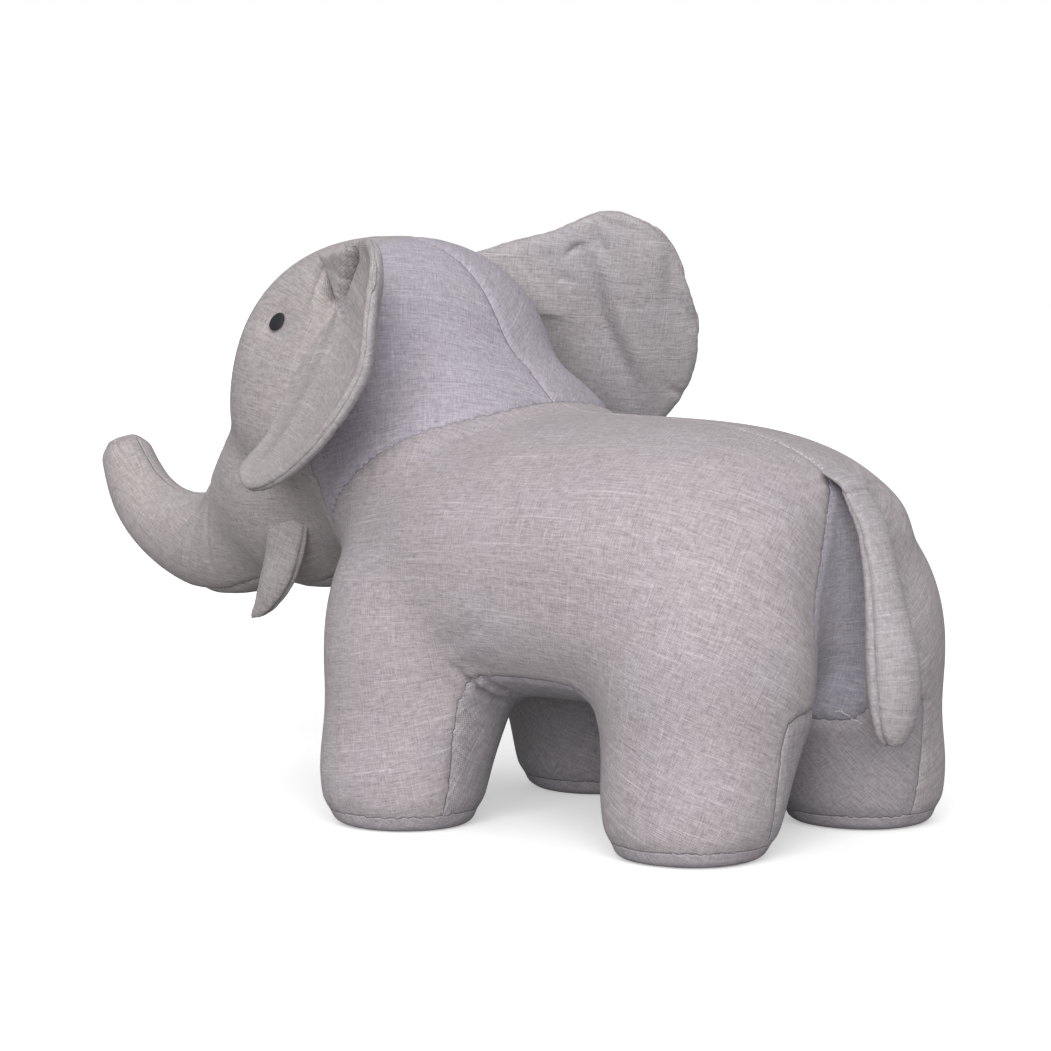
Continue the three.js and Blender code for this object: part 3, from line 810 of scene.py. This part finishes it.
def make_ear(side, sign):
    hang_of = EAR_HANG[side]
    bpy.ops.mesh.primitive_uv_sphere_add(segments=224, ring_count=128, radius=1)
    ear = bpy.context.active_object
    ear.name = "ear_" + side
    ball = points_of(ear)
    tilt = np.arccos(np.clip(ball[:, 2], -1, 1)) / (np.pi / 2)
    out = np.minimum(tilt, 2 - tilt)
    front = ball[:, 2] > 0
    turn = (np.arctan2(ball[:, 1], ball[:, 0]) / (2 * np.pi)) % 1
    rim = curve_through([(a, b, 0) for a, b in EAR_OUTLINE], 900, closed=True)[:, :2]
    places = np.linspace(0, 1, len(rim))
    edge = np.stack([np.interp(turn, places, rim[:, k]) for k in range(2)], axis=1) - EAR_MIDDLE
    length = np.linalg.norm(edge, axis=1)
    flat_share = 1 - EAR_ROLL / length
    roll = np.clip((out - 0.8) / 0.2, 0, 1) * np.pi / 2
    share = np.where(out < 0.8, out / 0.8 * flat_share, flat_share + (1 - flat_share) * np.sin(roll))
    from_rim = length * (1 - share)
    half = EAR_HALF_THICKNESS + 1.4 * np.exp(-(((from_rim - 10) / 9) ** 2))
    layer = np.where(front, 1, -1) * half * np.where(out < 0.8, 1, np.cos(roll))
    ab = EAR_MIDDLE + edge * share[:, None]
    a, b = ab.T
    cup = EAR_CUP * (share**2.6 - 0.4)
    for *line, depth, width in EAR_FOLDS:
        path = curve_through([(u, v, 0) for u, v in line], 40)[:, :2]
        apart = np.linalg.norm(ab[:, None] - path[None], axis=2)
        best = apart.argmin(axis=1)
        fade = np.sin(np.pi * (best + 0.5) / len(path)) ** 0.7
        fold = depth * fade * np.exp(-((apart.min(axis=1) / width) ** 2))
        cup += np.where(front, 0.35, 1) * hang_of["folds"] * fold
    # The pocket: a fold pressed into the ear; the same mask is kept below as painted shade.
    path = curve_through([(*spot, 0) for spot in EAR_POCKET], 40)[:, :2]
    apart = np.linalg.norm(ab[:, None] - path[None], axis=2)
    hollow = np.sin(np.pi * (apart.argmin(axis=1) + 0.5) / 40) ** 0.7 * np.exp(-((apart.min(axis=1) / 8.5) ** 4))
    cup -= hang_of["pocket"] * hollow
    sewn = np.array(EAR_SEWN, float)
    past = a - np.interp(b, sewn[:, 1], sewn[:, 0])
    upper = smooth_step(b, -25, 30)
    past *= 0.97 - 0.32 * upper
    near, far = (np.array(hang_of["tuck_low"])[:, None] * (1 - upper) + np.array(hang_of["tuck"])[:, None] * upper)
    tuck = (1 - smooth_step((past - near) / (far - near), 0, 1)) * smooth_step(b, -165, -110)
    swing = np.radians(hang_of["swing"])
    free = np.clip(past - near, 0, None) * smooth_step(past, 0, 30)
    along = a - (1 - np.cos(swing)) * free
    rise = b - hang_of["sag"] * np.clip(b, 0, None)
    depth_in = layer + cup - np.sin(swing) * free + hang_of["curl"] * smooth_step(b, 0, 80)
    spot = EAR_ROOT + EAR_OFFSET * (1 - tuck)[:, None] + EAR_TUCK * (tuck * (1 + hang_of["deeper"] * upper))[:, None]
    spot = spot + along[:, None] * EAR_BACK + rise[:, None] * EAR_RISE + depth_in[:, None] * EAR_FRONT
    set_points(ear, place(spot * [sign, 1, 1]))
    in_edit(ear, lambda: bpy.ops.mesh.normals_make_consistent(inside=False))
    # The pocket's mask, stored as the hollow attribute, paints shade into the front skin's colour, on the left ear
    # only.
    shade = ear.data.attributes.new("hollow", "FLOAT", "POINT")
    shade.data.foreach_set("value", (hollow * (hang_of["pocket"] > 0)).astype(np.float32))
    skins = [bpy.data.materials.new(f"linen_ear_{face}_{side}") for face in ("front", "back")]
    weave_linen(skins[0], *TINTS["face"], seed=40 + sign, hollow="hollow")
    weave_linen(skins[1], *TINTS["earback"], seed=50 + sign)
    middles = np.array([sum(ball[v][2] for v in p.vertices) for p in ear.data.polygons])
    sew(ear, skins, (middles < 0).astype(int), tuple(EAR_RISE * [sign, 1, 1]))
    draw_seams(ear, depth=0.0013, roll=0.0022, pucker=0.0006, spread=0.010)
    for name, panel in part(ear, [f"ear_front_{side}", f"ear_back_{side}"]).items():
        extra = [f"ear_wadding_{side}"] if "front" in name else []
        hang(panel, None, name, *extra, fill=0.5)
        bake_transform(panel)


make_ear("left", 1)
make_ear("right", -1)

# ---- The tusks ----
# Small stuffed pockets in the same linen, sewn by their raw top edge to the cheeks.

for side, sign in (("left", 1), ("right", -1)):
    tusk = stuffed(
        "tusk_" + side,
        spine=[(94, -314, 250), (96, -318, 216), (98, -327, 192), (98, -342, 170), (97, -357, 158)],
        width=(8, 12, 12.5, 10, 7),
        depth=(23, 20, 16.5, 12.5, 8.5),
        blunt=(8, 2),
        square=(2, 2),
        segments=48,
        rings=56,
    )
    if sign < 0:
        set_points(tusk, points_of(tusk) * [-1, 1, 1])
        in_edit(tusk, bpy.ops.mesh.flip_normals)
    halves = [bpy.data.materials.new(f"linen_tusk_{side}_{half}") for half in ("outer", "inner")]
    for half in halves:
        weave_linen(half, *TINTS["chin"], seed=60 + sign)
    middle = face_centres(tusk.data)
    bend = np.interp(middle[:, 2], [0.158, 0.170, 0.192, 0.25], [0.097, 0.098, 0.098, 0.095])
    sew(tusk, halves, (sign * middle[:, 0] < bend).astype(int), (0, 0.3, 1))
    draw_seams(tusk, depth=0.0016, roll=0.002, pucker=0.0007, spread=0.006)
    hang(tusk, None, f"tusk_{side}_cover", f"tusk_{side}_stuffing", fill=0.6)
    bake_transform(tusk)

# ---- The tail ----
# A flat strap of folded linen sewn into the top of the rump, that widens into a stuffed club.

tail = stuffed(
    "tail_cover_linen",
    spine=[
        (0, 219, 299),
        (0, 239, 266),
        (0, 248, 233),
        (0, 254, 200),
        (0, 260, 160),
        (0, 263, 122),
        (0, 262, 88),
    ],
    width=(18, 17.5, 18, 21, 26, 28, 26),
    depth=(5, 8, 11, 15, 20, 21, 19),
    blunt=(8, 3.2),
    square=(2, 2),
    segments=72,
    rings=90,
)
tail_halves = [bpy.data.materials.new("linen_tail_" + half) for half in ("back", "front")]
for half in tail_halves:
    weave_linen(half, *TINTS["tail"], seed=70)
middle = local(face_centres(tail.data))
bend = np.interp(middle[:, 2], [88, 122, 160, 200, 233, 266, 299], [262, 263, 260, 254, 248, 239, 219])
sew(tail, tail_halves, (middle[:, 1] < bend).astype(int), (0, 0, 1))
draw_seams(tail, depth=0.0016, roll=0.0025, pucker=0.0006, spread=0.010)
hang(tail, None, "tail_cover", "tail_stuffing", fill=0.7)
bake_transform(tail)

tail_strap = stuffed(
    "tail_tab_linen",
    spine=[(0, 200, 309), (0, 210, 305), (0, 221, 299), (0, 226, 291)],
    width=(17, 18, 18, 17),
    depth=(3, 3.4, 4.4, 4),
    blunt=(8, 8),
    square=(2.4, 2.4),
    segments=48,
    rings=24,
)
strap_linen = bpy.data.materials.new("linen_tail_tab")
weave_linen(strap_linen, *TINTS["tail"], seed=75)
sew(tail_strap, [strap_linen], [0] * len(tail_strap.data.polygons), (0, 0, 1))
hang(tail_strap, None, "tail_tab", fill=0.3)
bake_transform(tail_strap)

# ---- The eyes ----
# Matte black domed buttons, pulled a little into the face by a washer behind the cloth.

for side in ("left", "right"):
    button = bpy.data.materials.new("eye_button_" + side)
    matte = Finish(button)
    where = matte.node("ShaderNodeTexCoord", {}, {})[3]
    grain = matte.noise(where, 900.0, 2.0)
    black = matte.blend(grain, (0.006, 0.006, 0.009, 1), (0.018, 0.018, 0.024, 1))
    matte.feed(matte.shader.inputs["Base Color"], black)
    matte.feed(matte.shader.inputs["Roughness"], grain * 0.2 + 0.5)
    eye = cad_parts["eye_" + side]
    eye.data.materials.clear()
    eye.data.materials.append(button)

# ---- The floor, the lights and the camera ----
# A white studio floor and walls, one broad soft light from the left rear and a weaker one
# overhead.

bpy.ops.mesh.primitive_plane_add(size=30)
floor = bpy.context.active_object
floor.name = "floor"
paper = bpy.data.materials.new("floor_paper")
sweep = Finish(paper)
sweep.shader.inputs["Base Color"].default_value = (0.3, 0.3, 0.3, 1)
sweep.shader.inputs["Roughness"].default_value = 0.9
lit = sweep.node("ShaderNodeBsdfDiffuse", {}, {"Color": (0.95, 0.95, 0.95, 1)})[0]
lift = sweep.node("ShaderNodeEmission", {}, {"Color": (1, 1, 1, 1), "Strength": 0.4})[0]
white = sweep.node("ShaderNodeAddShader", {}, {0: lit, 1: lift})[0]
plain = Wire(sweep, sweep.shader.outputs[0])
seen_floor = sweep.node("ShaderNodeLightPath", {}, {})[0]
shown = sweep.node("ShaderNodeMixShader", {}, {0: seen_floor, 1: plain, 2: white})[0]
sweep.feed(sweep.tree.nodes["Material Output"].inputs["Surface"], shown)
floor.data.materials.append(paper)

world = bpy.data.worlds.new("studio")
bpy.context.scene.world = world
world.use_nodes = True
room = world.node_tree
seen = room.nodes.new("ShaderNodeLightPath")
mix = room.nodes.new("ShaderNodeMixShader")
glow = room.nodes["Background"]
glow.inputs["Color"].default_value = (1, 1, 1, 1)
glow.inputs["Strength"].default_value = 0.35
backdrop = room.nodes.new("ShaderNodeBackground")
backdrop.inputs["Color"].default_value = (1, 1, 1, 1)
backdrop.inputs["Strength"].default_value = 1.0
room.links.new(seen.outputs["Is Camera Ray"], mix.inputs[0])
room.links.new(glow.outputs[0], mix.inputs[1])
room.links.new(backdrop.outputs[0], mix.inputs[2])
room.links.new(mix.outputs[0], room.nodes["World Output"].inputs["Surface"])

MIDDLE = Vector((0, 0.1792, 0.23125))


def away(azimuth, elevation):
    """The direction from the object towards a viewer at an azimuth and elevation."""
    a, e = math.radians(azimuth), math.radians(elevation)
    return Vector((math.sin(a) * math.cos(e), -math.cos(a) * math.cos(e), math.sin(e)))


def broad_light(name, azimuth, elevation, width, strength):
    """A far, wide, soft lamp: width is the angle it fills, seen from the object."""
    bpy.ops.object.light_add(type="SUN", location=MIDDLE + away(azimuth, elevation) * 3)
    lamp = bpy.context.active_object
    lamp.name = name
    lamp.data.angle = math.radians(width)
    lamp.data.energy = strength
    lamp.rotation_euler = away(azimuth, elevation).to_track_quat("Z", "Y").to_euler()


broad_light("key_light", 124, 22, 48, 3.0)
broad_light("top_light", 60, 80, 70, 0.5)

VIEW_AZIMUTH, VIEW_ELEVATION = 127.6, 5.1
VIEW_DISTANCE = 3.2375
back = away(VIEW_AZIMUTH, VIEW_ELEVATION)
right = Vector((0, 0, 1)).cross(back).normalized()
up = back.cross(right)
eye_point = MIDDLE + back * VIEW_DISTANCE
aim = MIDDLE - right * 0.0942 + up * 0.0215
bpy.ops.object.camera_add(location=eye_point)
camera = bpy.context.active_object
camera.rotation_euler = (eye_point - aim).to_track_quat("Z", "Y").to_euler()
camera.data.sensor_width = 36
camera.data.lens = 130.6
bpy.context.scene.camera = camera
bpy.context.scene.view_settings.view_transform = "Standard"
